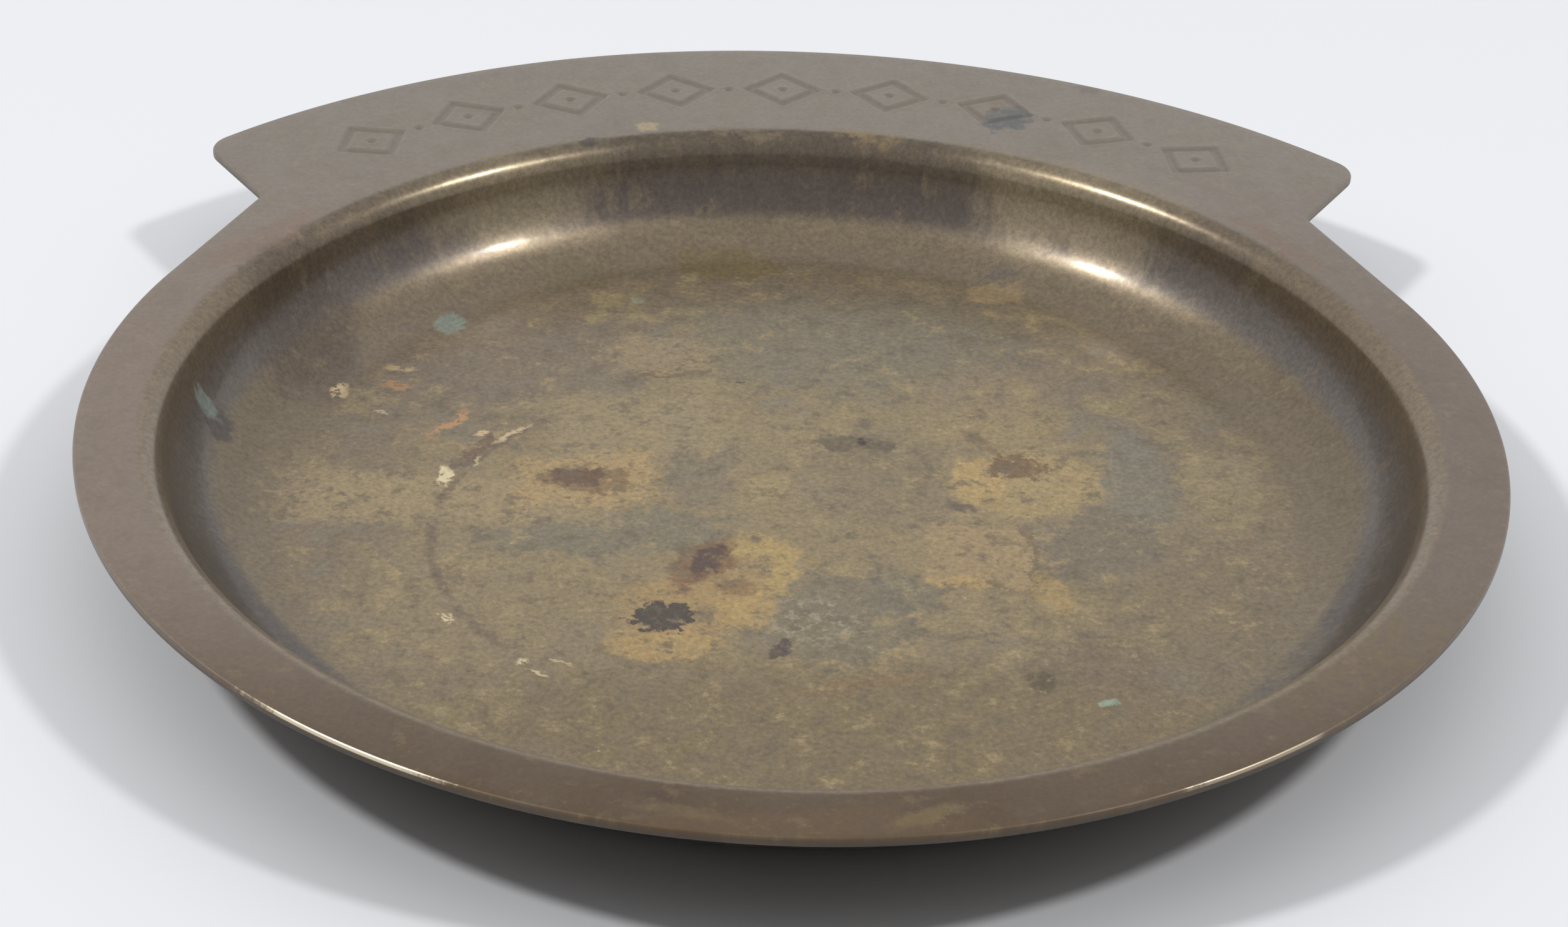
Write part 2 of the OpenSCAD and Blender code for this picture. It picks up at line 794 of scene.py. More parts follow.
SQUARE = Outline.SQUARE
BARE_METAL: Colour = (0.720, 0.620, 0.440)
# Half size in millimetres past which a stain is patchy inside
LARGE_STAIN = 2.6
# How much of a square stain its rounded corners take up
CORNER_ROUNDING = 0.25


@dataclass(frozen=True)
class Stain:
    """One mark on the tarnish: its middle and half sizes in millimetres, seen from above."""

    name: str
    at: Pair
    size: Pair
    colour: Colour = BARE_METAL
    strength: float = 0.85
    soft: float = 0.5
    turn: float = 0.0
    outline: Outline = Outline.ROUND
    fray: float = 0.5

    def mask(self, bench: NodeBench, loose: Wavy, tight: Wavy) -> Socket:
        """Share of the stain at each point.

        Args:
            bench: the bench of the material.
            loose: the strong waviness of large stains.
            tight: the fine waviness of small stains.

        Returns:
            A value from 0 outside to the stain's strength inside.
        """
        wavy = loose if self.large else tight
        local = bench.local(wavy.place, self.at, self.size, self.turn)
        if self.outline is Outline.ROUND:
            away = bench.length(local)
        else:
            folded = bench.split(bench.vector("ABSOLUTE", local))
            away = bench.math("SMOOTH_MAX", folded[0], folded[1], CORNER_ROUNDING)
        away = bench.math("MULTIPLY_ADD", wavy.ragged, self.fray, away)
        share = bench.ramp(away, 1.0 + 0.5 * self.soft, 1.0 - 0.5 * self.soft, 0.0, self.strength)
        share.node.label = self.name
        return share

    @property
    def large(self) -> bool:
        """Whether the stain is large enough to be patchy inside."""
        return max(self.size) > LARGE_STAIN


# Wide, soft changes of the tarnish, with painted shade and painted glow on the walls
HAZES = (
    Stain("olive middle", (0.0, -4.0), (27.0, 21.0), (0.272, 0.210, 0.117), 0.75, 1.2),
    Stain("olive front left", (-25.0, -17.0), (11.0, 10.0), (0.262, 0.202, 0.115), 0.7, 1.0),
    Stain("brown front", (6.0, -34.0), (36.0, 10.0), (0.182, 0.136, 0.068), 0.75, 0.8),
    Stain("brown far right", (35.0, -16.0), (8.0, 11.0), (0.188, 0.147, 0.092), 0.75, 0.9),
    Stain("olive front right", (27.0, -15.0), (9.0, 8.0), (0.225, 0.173, 0.094), 0.6, 0.7),
    Stain("grey at the back", (7.0, 29.0), (15.0, 9.0), (0.198, 0.171, 0.118), 0.85, 0.8),
    Stain("plum at the left", (-27.0, 24.0), (13.0, 9.0), (0.190, 0.149, 0.111), 0.75, 0.8),
    Stain("olive above the band", (-13.5, 12.8), (8.0, 5.8), (0.305, 0.240, 0.135), 0.8, 0.25, 8.0, SQUARE),
    Stain("ochre back right", (18.0, 20.0), (7.0, 5.0), (0.268, 0.202, 0.120), 0.5, 0.8),
    Stain("ochre far right", (34.0, 18.0), (4.5, 4.0), (0.253, 0.195, 0.112), 0.6, 0.8),
    Stain("yellow at the back of the middle", (3.0, 12.0), (7.0, 3.4), (0.290, 0.226, 0.122), 0.6, 0.5),
    Stain("blue left of middle", (-15.5, -5.2), (10.5, 3.6), (0.182, 0.163, 0.115), 0.75, 0.6, 4.0),
    Stain("grey beside the band", (-8.2, 3.8), (3.4, 4.4), (0.185, 0.154, 0.112), 0.65, 0.8),
    Stain("grey right of middle", (8.5, 5.0), (6.5, 9.0), (0.215, 0.170, 0.102), 0.7, 0.6),
    Stain("blue near the right", (30.5, 5.0), (3.4, 9.0), (0.196, 0.176, 0.132), 0.85, 0.5),
    Stain("plum at the right", (26.5, -6.0), (5.4, 5.6), (0.174, 0.143, 0.106), 0.75, 0.5),
    Stain("olive near the right", (38.0, 5.5), (3.8, 4.8), (0.287, 0.226, 0.125), 0.75, 0.3),
    Stain("grey front", (2.5, -17.5), (7.5, 6.5), (0.196, 0.162, 0.110), 0.85, 0.4),
    Stain("blue front right", (9.5, -14.0), (3.2, 3.4), (0.170, 0.152, 0.108), 0.75, 0.5),
    Stain("plum front right", (24.0, -23.5), (5.5, 3.8), (0.170, 0.126, 0.084), 0.65, 0.6),
    Stain("shade at the left wall", (-44.0, 23.0), (4.5, 7.0), (0.093, 0.069, 0.053), 0.7, 0.9),
    Stain("olive on the back cove", (-5.5, 44.0), (5.5, 3.0), (0.178, 0.136, 0.064), 0.8, 0.4),
    Stain("olive on the left cove", (-19.0, 41.0), (4.0, 2.4), (0.165, 0.130, 0.070), 0.5, 0.5, 24.0),
    # Painted glow: lighter bands on the back wall beside the lamps' highlights
    Stain("painted glow on the left wall", (-27.5, 44.9), (9.5, 2.4), (0.235, 0.190, 0.125), 0.85, 1.2, 31.0),
    Stain("painted glow on the right wall", (28.0, 44.7), (10.5, 2.7), (0.270, 0.218, 0.145), 0.9, 1.2, -32.0),
)

# Ochre and brown patches where the tarnish has broken
PATCHES = (
    Stain("pale band", (-29.5, 0.0), (14.0, 4.1), (0.318, 0.245, 0.140), 0.85, 0.4, outline=SQUARE),
    Stain("ochre end of the band", (-17.6, 3.4), (6.2, 4.2), (0.385, 0.275, 0.135), 0.9, 0.16, 5.0, SQUARE),
    Stain("ochre right of middle", (20.6, 3.9), (6.9, 5.6), (0.365, 0.272, 0.132), 0.9, 0.22),
    Stain("bright ochre in it", (16.6, 4.6), (2.7, 3.6), (0.440, 0.310, 0.134), 0.7, 0.4),
    Stain("tan square", (15.8, -7.6), (4.3, 4.7), (0.335, 0.243, 0.131), 0.9, 0.12, -3.0, SQUARE, 0.3),
    Stain("ochre edge of the square", (14.2, -11.6), (3.2, 1.0), (0.410, 0.282, 0.116), 0.75, 0.5),
    Stain("ochre past the square", (21.4, -13.0), (1.6, 2.9), (0.360, 0.250, 0.108), 0.75, 0.3, 14.0),
    Stain("ochre round the blotch", (-3.4, -10.0), (4.4, 5.2), (0.400, 0.292, 0.120), 0.9, 0.22),
    Stain("tan in the middle of it", (-5.0, -11.0), (2.9, 3.0), (0.300, 0.210, 0.106), 0.8, 0.4),
    Stain("ochre under the blotch", (-9.0, -16.6), (5.2, 4.6), (0.355, 0.240, 0.106), 0.85, 0.3),
    Stain("bright ochre beside it", (-3.9, -16.6), (2.6, 2.7), (0.425, 0.292, 0.116), 0.75, 0.3, 20.0),
    Stain("ochre front", (-10.4, -22.0), (4.8, 2.2), (0.405, 0.280, 0.116), 0.8, 0.35),
    Stain("pale patch at the back", (-12.0, 26.4), (5.2, 3.6), (0.290, 0.222, 0.134), 0.8, 0.2),
    Stain("pale fleck mid", (-2.3, 2.4), (1.9, 2.2), (0.335, 0.260, 0.132), 0.8, 0.5),
    Stain("ochre above the right", (17.5, 13.5), (6.0, 3.2), (0.300, 0.228, 0.122), 0.65, 0.4),
    Stain(
        "ochre on the back cove", (20.6, 39.4), (2.6, 1.6), (0.253, 0.185, 0.098), 0.85, 0.3,
        outline=SQUARE,
    ),
    Stain("red line in the front", (5.0, -27.2), (6.5, 0.7), (0.215, 0.135, 0.068), 0.6, 0.7, 16.0),
    Stain("brown in the band", (-17.9, 3.5), (4.3, 2.3), (0.188, 0.115, 0.056), 0.8, 0.4, fray=0.9),
    Stain("dark in the band", (-18.6, 3.8), (2.5, 1.5), (0.105, 0.062, 0.038), 0.75, 0.5, fray=1.6),
    Stain("brown at the right", (20.2, 6.8), (2.6, 1.9), (0.150, 0.092, 0.046), 0.85, 0.4, fray=1.6),
    Stain("red streak", (-7.6, -9.9), (2.2, 5.0), (0.178, 0.100, 0.052), 0.9, 0.4, -24.0),
    Stain("plum in the streak", (-7.0, -9.2), (1.2, 2.5), (0.080, 0.047, 0.038), 0.92, 0.5, -24.0),
    Stain("brown below the streak", (-4.6, -13.4), (1.7, 1.2), (0.205, 0.122, 0.062), 0.7, 0.6),
    Stain("dark blotch", (-10.7, -17.9), (2.6, 2.2), (0.052, 0.040, 0.034), 0.96, 0.2, 10.0, fray=1.0),
    Stain("plum spot mid", (15.0, -0.2), (1.5, 0.8), (0.120, 0.090, 0.071), 0.8, 0.6, -30.0),
    Stain("dark arc", (6.2, 10.4), (4.0, 1.5), (0.118, 0.092, 0.062), 0.9, 0.5, -4.0),
    Stain("olive under the arc", (6.6, 8.4), (1.9, 1.2), (0.215, 0.170, 0.102), 0.9, 0.5),
    Stain("black pit", (6.6, 10.7), (0.5, 0.4), (0.030, 0.020, 0.020), 0.9, 0.6),
    Stain("plum spot front", (-1.1, -22.3), (0.7, 1.5), (0.070, 0.048, 0.043), 0.9, 0.4, -22.0),
    Stain("ring spot", (19.7, -26.4), (1.2, 1.6), (0.098, 0.074, 0.042), 0.9, 0.5),
    Stain("line by the square", (20.3, -7.0), (0.35, 5.2), (0.150, 0.110, 0.066), 0.7, 0.7, 2.0),
    Stain("streak at the back", (-10.4, 22.6), (4.0, 0.5), (0.166, 0.110, 0.062), 0.8, 0.5, 12.0),
    Stain("dark fleck at the back", (-4.2, 21.1), (0.5, 0.3), (0.090, 0.066, 0.050), 0.8, 0.6, 20.0),
    Stain("brown line at the right", (17.2, 11.0), (0.6, 2.6), (0.175, 0.120, 0.068), 0.6, 0.6, 34.0),
    Stain("streak at the left", (-27.8, 7.6), (0.8, 3.4), (0.150, 0.098, 0.068), 0.9, 0.4, -26.0),
    Stain("plum spot on the cove", (21.4, 42.3), (1.5, 0.7), (0.127, 0.103, 0.083), 0.85, 0.5),
    Stain("verdigris at the left", (-31.6, 31.1), (1.5, 1.7), (0.205, 0.245, 0.208), 0.9, 0.3),
    Stain("plum under it", (-49.8, 6.6), (1.0, 1.9), (0.082, 0.068, 0.064), 0.85, 0.5),
    Stain("verdigris on the wall", (-51.0, 7.4), (0.9, 1.0), (0.205, 0.245, 0.230), 0.9, 0.5, -30.0),
    Stain("verdigris front right", (24.7, -29.0), (0.9, 0.5), (0.262, 0.321, 0.256), 0.9, 0.5),
    Stain("verdigris at the back", (-14.0, 36.6), (0.5, 0.6), (0.214, 0.229, 0.156), 0.8, 0.6),
)

# Marks on the flange, the tab and the lip
FLANGE_MARKS = (
    Stain("blue stain on the tab", (22.6, 58.6), (2.5, 3.2), (0.085, 0.095, 0.104), 0.9, 0.3, -18.0),
    Stain("brown tip over it", (22.0, 62.6), (1.0, 1.6), (0.189, 0.141, 0.103), 0.6, 0.6, -18.0),
    Stain("yellow drop by the lip", (-13.7, 54.8), (1.2, 1.1), (0.378, 0.298, 0.189), 0.85, 0.5, 20.0),
    Stain("dark drop by the lip", (-19.4, 51.2), (0.8, 0.8), (0.065, 0.054, 0.046), 0.85, 0.6),
    Stain("ochre on the back lip", (8.5, 53.8), (3.2, 0.9), (0.227, 0.160, 0.079), 0.8, 0.5, -8.0),
    Stain("ochre on the back lip left", (-4.0, 54.2), (4.0, 0.6), (0.184, 0.141, 0.089), 0.6, 0.6),
    Stain("pink by the left lip", (-48.0, 29.0), (1.5, 7.5), (0.205, 0.138, 0.102), 0.7, 0.8, -32.0),
    Stain("pink by the right lip", (46.5, 32.0), (1.3, 6.0), (0.190, 0.120, 0.082), 0.65, 0.8, 36.0),
    Stain("smudge on the right", (56.8, -9.4), (1.6, 1.0), (0.141, 0.112, 0.095), 0.6, 0.7),
    Stain("brown in the front", (0.0, -58.6), (13.0, 1.5), (0.122, 0.073, 0.033), 0.6, 0.8),
    Stain("plum spot in the front", (-10.2, -55.4), (1.4, 0.5), (0.065, 0.040, 0.029), 0.7, 0.7),
    Stain("ochre wear in the front", (8.0, -57.3), (2.6, 0.8), (0.174, 0.122, 0.055), 0.7, 0.9, 30.0),
    Stain("ochre wear front left", (-9.0, -57.3), (3.2, 0.7), (0.160, 0.112, 0.052), 0.6, 0.9, -10.0),
    Stain("stain on the tab's edge", (31.5, 66.3), (1.3, 0.8), (0.150, 0.127, 0.112), 0.6, 0.8, -20.0),
)

# Places scratched down to bright metal
SCRATCHES = (
    Stain("fleck at the left", (-35.6, 22.4), (1.4, 0.55), (0.62, 0.48, 0.26), 0.9, 0.6, -12.0),
    Stain("fleck by the cove", (-40.6, 17.7), (0.8, 1.3), (0.70, 0.53, 0.30), 0.9, 0.7),
    Stain("copper fleck", (-35.7, 19.1), (1.3, 0.8), (0.50, 0.29, 0.14), 0.85, 0.8, -20.0),
    Stain("copper streak", (-30.2, 13.4), (0.6, 2.9), (0.52, 0.29, 0.13), 0.9, 0.8, -21.0),
    Stain("short fleck", (-36.6, 14.2), (0.7, 0.25), (0.60, 0.46, 0.30), 0.7, 0.8, -10.0),
    Stain("gold fleck", (-27.2, 10.9), (0.8, 0.45), (0.66, 0.48, 0.27), 0.9, 0.7, 25.0),
    Stain("gold streak", (-24.6, 11.0), (0.33, 2.2), (0.66, 0.50, 0.29), 0.85, 0.8, -40.0),
    Stain("gold sliver", (-27.4, 6.0), (0.25, 1.1), (0.60, 0.48, 0.27), 0.7, 0.8, -12.0),
    Stain("bright gouge", (-30.0, 3.4), (0.55, 1.7), (0.78, 0.66, 0.40), 0.95, 0.6, 4.0),
    Stain("bright nick front left", (-28.4, -18.5), (0.4, 1.1), (0.74, 0.62, 0.38), 0.9, 0.7, 38.0),
    Stain("nick in the front", (-21.8, -24.8), (0.5, 0.55), (0.70, 0.58, 0.36), 0.85, 0.7, 40.0),
    Stain("long nick in the front", (-20.4, -26.4), (0.22, 0.9), (0.66, 0.54, 0.32), 0.8, 0.8, 60.0),
    Stain("fine scratch", (-18.8, -24.8), (0.16, 1.1), (0.60, 0.48, 0.28), 0.7, 0.8, 62.0),
)

# Pale crust in the front of the dish
CRUST = Stain("crust", (1.5, -18.0), (4.6, 4.0), (0.370, 0.330, 0.245), 1.0, 0.9)

# Stretches of the outer edge rubbed bright
RUBBED = (
    Stain("front left", (-33.0, -50.5), (8.0, 4.0), strength=0.9, soft=0.7, turn=-33.0),
    Stain("front right", (33.0, -50.5), (6.5, 4.0), strength=0.4, soft=0.7, turn=33.0),
)


@dataclass(frozen=True)
class RingStain:
    """Faint round mark left on the floor by something that stood there, in millimetres.

    Its line fades from full strength at the core to nothing at its width, and only its left arc
    shows, between two shares of the radius left of its middle.
    """

    at: Pair = (-5.5, -5.5)
    radius: float = 25.0
    width: float = 0.75
    core: float = 0.15
    strength: float = 0.62
    left: Pair = (0.5, 0.75)
    gaps: Ramp = Ramp(0.36, 0.50)
    colour: Colour = (0.118, 0.082, 0.062)

    def mask(self, bench: NodeBench, tight: Socket, patchy: Socket) -> Socket:
        """Share of the mark at each point.

        Args:
            bench: the bench of the material.
            tight: coordinates with a fine waviness.
            patchy: a value about 0.5 that breaks the ring up.

        Returns:
            A value from 0 to the mark's strength.
        """
        away = bench.length(bench.vector("SUBTRACT", tight, (*self.at, 0.0)))
        off = bench.math("ABSOLUTE", bench.math("SUBTRACT", away, self.radius))
        line = bench.ramp(off, self.width, self.core * self.width, 0.0, self.strength)
        start, full = (self.at[0] - share * self.radius for share in self.left)
        arc = bench.math("MULTIPLY", line, bench.ramp(bench.split(tight)[0], start, full))
        return bench.math("MULTIPLY", arc, bench.follow(patchy, self.gaps))


@dataclass(frozen=True)
class BrassColours:
    """Colours of the tarnished brass, zone by zone, as linear red, green and blue; the wall and lip colours
    also hold painted reflection.
    """

    warmth: Colour = (0.960, 0.940, 0.890)
    floor_rim: Colour = (0.192, 0.146, 0.098)
    floor_mid: Colour = (0.260, 0.199, 0.108)
    floor_olive: Colour = (0.275, 0.226, 0.118)
    floor_grey: Colour = (0.190, 0.166, 0.122)
    floor_dark: Colour = (0.140, 0.110, 0.070)
    floor_gold: Colour = (0.340, 0.262, 0.140)
    ochre: Colour = (0.400, 0.285, 0.130)
    cove: Colour = (0.172, 0.135, 0.088)
    cove_back: Colour = (0.186, 0.147, 0.099)
    # Painted reflection in the wall colours: darker at the back and towards the front, paler at the sides, as
    # the metal would mirror dark and pale surroundings
    wall_side_tarnish_and_reflection: Colour = (0.150, 0.132, 0.124)
    wall_back_tarnish_and_reflection: Colour = (0.082, 0.064, 0.054)
    wall_near_tarnish_and_reflection: Colour = (0.088, 0.074, 0.066)
    # Painted reflection in the lip colours: dark at the back, lighter at the sides and in the front
    lip_back_tarnish_and_reflection: Colour = (0.112, 0.088, 0.066)
    lip_side_tarnish_and_reflection: Colour = (0.214, 0.166, 0.116)
    lip_front: Colour = (0.186, 0.142, 0.094)
    # The flange is lighter at the back and on the left, darker on the right and darkest in the front
    flange_back: Colour = (0.216, 0.186, 0.156)
    flange_side: Colour = (0.221, 0.172, 0.140)
    flange_right: Colour = (0.168, 0.130, 0.104)
    flange_front: Colour = (0.096, 0.063, 0.035)
    flange_cloud: Colour = (0.190, 0.150, 0.120)
    pit: Colour = (0.060, 0.045, 0.034)
    glint: Colour = (0.500, 0.430, 0.290)
    groove: Colour = (0.100, 0.078, 0.062)
    under: Colour = (0.075, 0.058, 0.042)


@dataclass(frozen=True)
class BrassGrains:
    """Noise patterns of the tarnish, and how far they move and fray what is drawn on them."""

    clouds: Grain = Grain(15.0, 3.0, seed=21.0)
    mottle: Grain = Grain(5.5, 6.0, 0.62, 0.6, 9.0)
    fleck: Grain = Grain(1.1, 5.0, 0.68, seed=3.0)
    patch: Grain = Grain(2.4, 7.0, 0.70, seed=13.0)
    speck: Grain = Grain(0.5, 5.0, 0.78, seed=7.0)
    streak: Grain = Grain(1.7, 4.0, 0.6, seed=2.0)
    streak_radius: float = 52.0
    streak_drag: Triple = (0.08, 0.08, 0.3)
    wide_wave: Grain = Grain(6.0, 6.0, 0.68)
    wide_reach: float = 3.0
    wide_fray: Pair = (3.2, 2.0)
    fine_wave: Grain = Grain(1.3, 4.0, 0.65, seed=5.0)
    fine_reach: float = 0.9
    fine_fray: float = 2.2


@dataclass(frozen=True)
class ZoneBorders:
    """Where each zone of the sheet begins, in millimetres.

    The cove and the bends count from the edge of the flat floor, and the wall, lip and flange from
    where the flange starts to bend. The others are places along X or Y.
    """

    cove: Ramp = Ramp(1.2, 3.8)
    cove_uneven: float = 5.0
    bends: Ramp = Ramp(-1.0, 6.0)
    wall: Ramp = Ramp(-5.5, -4.3)
    # Towards the front the wall zone reaches further down, carrying the wall's painted dark reflection with
    # it
    wall_lower: Ramp = Ramp(-30.0, 6.0, 5.2, 0.0)
    lip: Ramp = Ramp(-3.3, -2.2)
    lip_outer: float = 0.8
    flange: Ramp = Ramp(-0.35, 0.25)
    flange_uneven: float = 0.7
    right: Ramp = Ramp(20.0, 54.0)
    near: Ramp = Ramp(-2.0, -18.0)
    front: Ramp = Ramp(-20.0, -59.0)
    back: Ramp = Ramp(5.0, 55.0)


@dataclass(frozen=True)
class Mottling:
    """How strongly each pattern shows in the colour, and how high it stands in millimetres.

    The two heights of a relief are those on the floor and on the rest of the sheet.
    """

    cloud_reach: Ramp = Ramp(0.3, 0.7, -9.0, 9.0)
    floor_rim: Ramp = Ramp(20.0, 42.0)
    olive: Ramp = Ramp(0.46, 0.66, 0.0, 0.75)
    grey: Ramp = Ramp(0.50, 0.34, 0.0, 0.80)
    cove_streaks: Ramp = Ramp(0.42, 0.66, 0.0, 0.40)
    wall_streaks: Ramp = Ramp(0.45, 0.68, 0.0, 0.14)
    lip_streaks: Ramp = Ramp(0.42, 0.62, 0.0, 0.25)
    flange_clouds: Ramp = Ramp(0.42, 0.62, 0.0, 0.16)
    patchy: Ramp = Ramp(0.36, 0.52, 0.4, 1.0)
    off_floor: float = 0.75
    dark: Ramp = Ramp(0.49, 0.36, 0.0, 0.66)
    gold: Ramp = Ramp(0.53, 0.63, 0.0, 0.72)
    gold_where: Ramp = Ramp(0.43, 0.57, 0.1, 1.0)
    gold_flecks: Ramp = Ramp(0.58, 0.70, 0.0, 0.3)
    pits: Ramp = Ramp(0.42, 0.32, 0.0, 0.75)
    pits_whole: float = 0.20
    pits_broken: float = 0.55
    crust: Ramp = Ramp(0.50, 0.60, 0.0, 0.6)
    glints: Ramp = Ramp(0.64, 0.70, 0.0, 0.6)
    glints_where: Ramp = Ramp(0.40, 0.58)
    fine: Ramp = Ramp(0.30, 0.70, 0.76, 1.24)
    fine_flange: float = 0.4
    scratches: Ramp = Ramp(0.42, 0.49)
    groove: float = 0.30
    rounded_edge: Ramp = Ramp(0.8, 1.0)
    worn: Ramp = Ramp(0.42, 0.62, 0.0, 0.03)
    under_rubbed: Ramp = Ramp(0.38, 0.72, 0.0, 0.42)
    under_dark: Ramp = Ramp(0.50, 0.36, 0.0, 0.45)
    fleck_relief: Pair = (0.015, 0.0035)
    speck_relief: Pair = (0.012, 0.0018)


@dataclass(frozen=True)
class Gloss:
    """How metallic and how rough one zone is."""

    metal: float
    rough: float


@dataclass(frozen=True)
class BrassGloss:
    """Gloss of each zone, and the weight and roughness of the clear film over it."""

    floor: Gloss = Gloss(0.30, 0.42)
    bends: Gloss = Gloss(0.60, 0.30)
    wall: Gloss = Gloss(0.50, 0.36)
    lip: Gloss = Gloss(0.65, 0.28)
    lip_front: Gloss = Gloss(0.30, 0.45)
    flange: Gloss = Gloss(0.45, 0.46)
    broken: Gloss = Gloss(0.10, 0.62)
    bare: Gloss = Gloss(1.00, 0.25)
    uneven: Ramp = Ramp(0.3, 0.7, -0.05, 0.07)
    film: float = 0.20
    film_front: float = 0.06
    film_worn: float = 1.0
    film_rough: float = 0.12


@dataclass(frozen=True)
class BrassFinish:
    """The finish of the tarnished brass: its colours, patterns, zones and gloss."""

    colours: BrassColours = BrassColours()
    grains: BrassGrains = BrassGrains()
    borders: ZoneBorders = ZoneBorders()
    shows: Mottling = Mottling()
    gloss: BrassGloss = BrassGloss()


class BrassMaterial:
    """Tarnished brass for the whole sheet, laid out in millimetres from the dish's middle."""

    def __init__(self, finish: BrassFinish, sizes: SheetSizes) -> None:
        """Starts the material, and lays out its patterns and zones.

        Args:
            finish: the colours, patterns, zones and gloss.
            sizes: the sheet's sizes, which the zones follow.
        """
        self.colours = finish.colours
        self.shows = finish.shows
        self.gloss = finish.gloss
        self.material = bpy.data.materials.new("tarnished_brass")
        self.material.use_nodes = True
        self.material.node_tree.nodes.clear()
        bench = self.bench = NodeBench(self.material.node_tree)
        place = bench.add("ShaderNodeTexCoord").outputs["Object"]
        self.spot = bench.vector("MULTIPLY", place, (1.0 / MM, 1.0 / MM, 1.0 / MM))
        self.flat = bench.vector("MULTIPLY", self.spot, (1.0, 1.0, 0.0))
        self.radius = bench.length(self.flat)
        self.lay_patterns(finish.grains)
        self.lay_zones(finish.borders, sizes)

    def lay_patterns(self, grains: BrassGrains) -> None:
        """Adds the noise patterns, and the wavy coordinates that the marks are drawn on.

        Args:
            grains: the patterns' sizes and reach.
        """
        bench = self.bench
        self.clouds = bench.noise(self.flat, grains.clouds).outputs[0]
        self.mottle = bench.noise(self.flat, grains.mottle).outputs[0]
        self.fleck = bench.noise(self.flat, grains.fleck).outputs[0]
        self.patch = bench.noise(self.flat, grains.patch).outputs[0]
        wide = bench.warp(self.flat, grains.wide_wave, grains.wide_reach)
        by_patch, by_fleck = grains.wide_fray
        ragged = bench.math("MULTIPLY_ADD", self.patch, by_patch, -0.5 * (by_patch + by_fleck))
        self.loose = Wavy(wide, bench.math("MULTIPLY_ADD", self.fleck, by_fleck, ragged))
        fine = bench.warp(self.flat, grains.fine_wave, grains.fine_reach)
        ragged = bench.math("MULTIPLY_ADD", self.fleck, grains.fine_fray, -0.5 * grains.fine_fray)
        self.tight = Wavy(fine, ragged)
        self.patchy = bench.follow(self.patch, self.shows.patchy)
        self.speck = bench.noise(self.spot, grains.speck).outputs[0]
        radius = grains.streak_radius
        along = bench.vector("MULTIPLY", bench.vector("NORMALIZE", self.flat), (radius, radius, 0.0))
        down = bench.vector("ADD", along, bench.vector("MULTIPLY", self.spot, grains.streak_drag))
        self.streak = bench.noise(down, grains.streak).outputs[0]

    def lay_zones(self, borders: ZoneBorders, sizes: SheetSizes) -> None:
        """Works out which zone each point lies in.

        Args:
            borders: where the zones begin.
            sizes: the sheet's sizes.
        """
        bench = self.bench
        bend = sizes.bend_r / MM
        cove = sizes.floor_r / MM
        across, along, _ = bench.split(self.spot)
        uneven = bench.math("MULTIPLY_ADD", self.patch, borders.cove_uneven, self.radius)
        self.on_cove = bench.follow(uneven, borders.cove, cove)
        self.on_bends = bench.follow(self.radius, borders.bends, cove)
        # Painted reflection: the wall zone reaches further down towards the front
        lower = bench.math("ADD", self.radius, bench.follow(along, borders.wall_lower))
        self.on_wall = bench.follow(lower, borders.wall, bend)
        self.front = bench.follow(along, borders.front)
        outer = bench.math("MULTIPLY_ADD", self.front, -borders.lip_outer, self.radius)
        self.on_lip = bench.follow(outer, borders.lip, bend)
        wavy = bench.math("MULTIPLY_ADD", self.fleck, borders.flange_uneven, self.radius)
        self.on_flange = bench.follow(wavy, borders.flange, bend)
        self.right = bench.follow(across, borders.right)
        self.near = bench.follow(along, borders.near)
        self.back = bench.follow(along, borders.back)

    def make(self) -> bpy.types.Material:
        """Builds the material.

        Returns:
            The finished material.
        """
        bench = self.bench
        colour, broken = self.stained(self.zone_colour())
        colour, bare = self.scratched(self.grain_colour(colour, broken))
        groove = bench.math("MULTIPLY", bench.share(GROOVE), self.shows.groove)
        colour = bench.blend(groove, colour, self.colours.groove)
        under = bench.share(UNDER)
        colour = bench.blend(under, colour, self.under_colour())
        bare = bench.math("MULTIPLY", bare, bench.math("SUBTRACT", 1.0, under))
        worn = self.worn_edge()
        colour = bench.blend(worn, colour, BARE_METAL)
        shader = bench.add("ShaderNodeBsdfPrincipled")
        bench.feed(shader.inputs["Base Color"], colour)
        self.set_gloss(shader, broken, bare, worn)
        bench.feed(shader.inputs["Normal"], self.relief())
        out = bench.add("ShaderNodeOutputMaterial")
        self.material.node_tree.links.new(shader.outputs[0], out.inputs[0])
        return self.material

    def zone_colour(self) -> Socket:
        """Tarnish of the floor, cove, wall, lip and flange without its single marks, with painted reflection
        on the wall and the lip.

        Returns:
            The colour at each point.
        """
        bench = self.bench
        hue = self.colours
        shows = self.shows
        reach = bench.math("ADD", self.radius, bench.follow(self.clouds, shows.cloud_reach))
        floor = bench.blend(bench.follow(reach, shows.floor_rim), hue.floor_mid, hue.floor_rim)
        floor = bench.blend(bench.follow(self.mottle, shows.olive), floor, hue.floor_olive)
        floor = bench.blend(bench.follow(self.mottle, shows.grey), floor, hue.floor_grey)
        cove = bench.blend(self.back, hue.cove, hue.cove_back)
        cove = bench.blend(bench.follow(self.streak, shows.cove_streaks), cove, hue.floor_rim)
